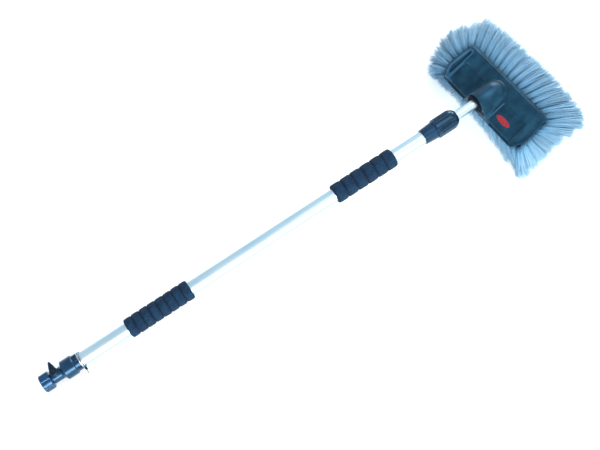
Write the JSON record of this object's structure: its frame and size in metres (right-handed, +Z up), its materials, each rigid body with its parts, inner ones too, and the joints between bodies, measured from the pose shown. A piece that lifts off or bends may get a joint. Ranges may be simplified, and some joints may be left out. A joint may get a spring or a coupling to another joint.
{
  "type": "flow-through wash brush with telescopic pole",
  "caption": "Telescopic water-fed wash brush: angled block head with splayed soft bristles, twist lock, foam grips and a hose valve with swivel nut.",
  "frame": {"origin": "under the middle of the whole brush, on the surface it lies on", "axes": "+Y from the hose end to the head along the floor, +Z up, +X across the head to the right seen from the hose end; the pole rises towards the head by the angle at which the brush lies on its hose nut and bristle edge"},
  "size_m": [0.338, 1.1076, 0.0996],
  "materials": {
    "tube_aluminium": "satin anodised",
    "inner_aluminium": "satin",
    "ferrule_metal": "turned",
    "clip_steel": "blackened spring wire",
    "screw_steel": "zinc plated",
    "black_plastic": "moulded",
    "nut_plastic": "moulded, semi-gloss",
    "lever_plastic": "moulded",
    "head_plastic": "moulded, satin",
    "badge_red": "plain red inlay",
    "white_plastic": "natural acetal",
    "seal_rubber": "moulded seal",
    "grip_foam": "closed cell foam sleeve",
    "valve_brass": "machined",
    "bristle_fibre": "bundles of flagged synthetic filament"
  },
  "bodies": {
    "handle": {"outer_tube": "tube_aluminium", "valve_body": "black_plastic", "hose_tail": "black_plastic", "hose_washer": "seal_rubber", "hose_strainer": "clip_steel", "valve_seat_back": "white_plastic", "valve_seat_front": "white_plastic", "stem_seal": "seal_rubber", "tube_seal": "seal_rubber", "tube_ferrule": "ferrule_metal", "spring_clip": "clip_steel", "foam_grip_lower": "grip_foam", "foam_grip_upper": "grip_foam", "lock_sleeve": "black_plastic", "gland_seal": "seal_rubber"},
    "hose_nut": {"hose_nut": "nut_plastic"},
    "valve": {"valve_ball": "valve_brass", "valve_stem": "valve_brass", "valve_lever": "lever_plastic", "lever_screw": "screw_steel"},
    "lock_collet": {"lock_collet": "white_plastic"},
    "lock_nut": {"lock_nut": "nut_plastic"},
    "slider": {"piston_seals": "seal_rubber"},
    "head": {"inner_tube": "inner_aluminium", "piston": "white_plastic", "tube_tip": "white_plastic", "head_block": "head_plastic", "badge": "badge_red", "tuft_plate": "head_plastic", "plate_gasket": "seal_rubber", "plate_screws": "screw_steel", "bristles_far": "bristle_fibre", "bristles_near": "bristle_fibre", "bristles_left": "bristle_fibre", "bristles_right": "bristle_fibre", "bristles_field": "bristle_fibre"}
  },
  "joints": [
    {"name": "pole_slide", "type": "slide", "parent": "handle", "child": "slider", "axis": [0, 0.998, 0.0625], "range_m": [0, 0.65]},
    {"name": "pole_turn", "type": "hinge", "parent": "slider", "child": "head", "pos_m": [0.017, -0.41504, 0.0256], "axis": [0, 0.998, 0.0625], "continuous": true},
    {"name": "lock_slide", "type": "slide", "parent": "handle", "child": "lock_collet", "axis": [0, 0.998, 0.0625], "range_m": [0, 0.00125]},
    {"name": "lock_turn", "type": "hinge", "parent": "lock_collet", "child": "lock_nut", "pos_m": [0.017, 0.30555, 0.07075], "axis": [0, 0.998, 0.0625], "range_deg": [0, 180]},
    {"name": "valve_turn", "type": "hinge", "parent": "handle", "child": "valve", "pos_m": [0.017, -0.52233, 0.01887], "axis": [0, -0.0625, 0.998], "range_deg": [0, 90]},
    {"name": "hose_nut_turn", "type": "hinge", "parent": "handle", "child": "hose_nut", "pos_m": [0.017, -0.54314, 0.01757], "axis": [0, 0.998, 0.0625], "continuous": true}
  ],
  "couplings": [
    {"joint": "lock_slide", "follows": "lock_turn", "m_per_rad": 0.00039789}
  ]
}
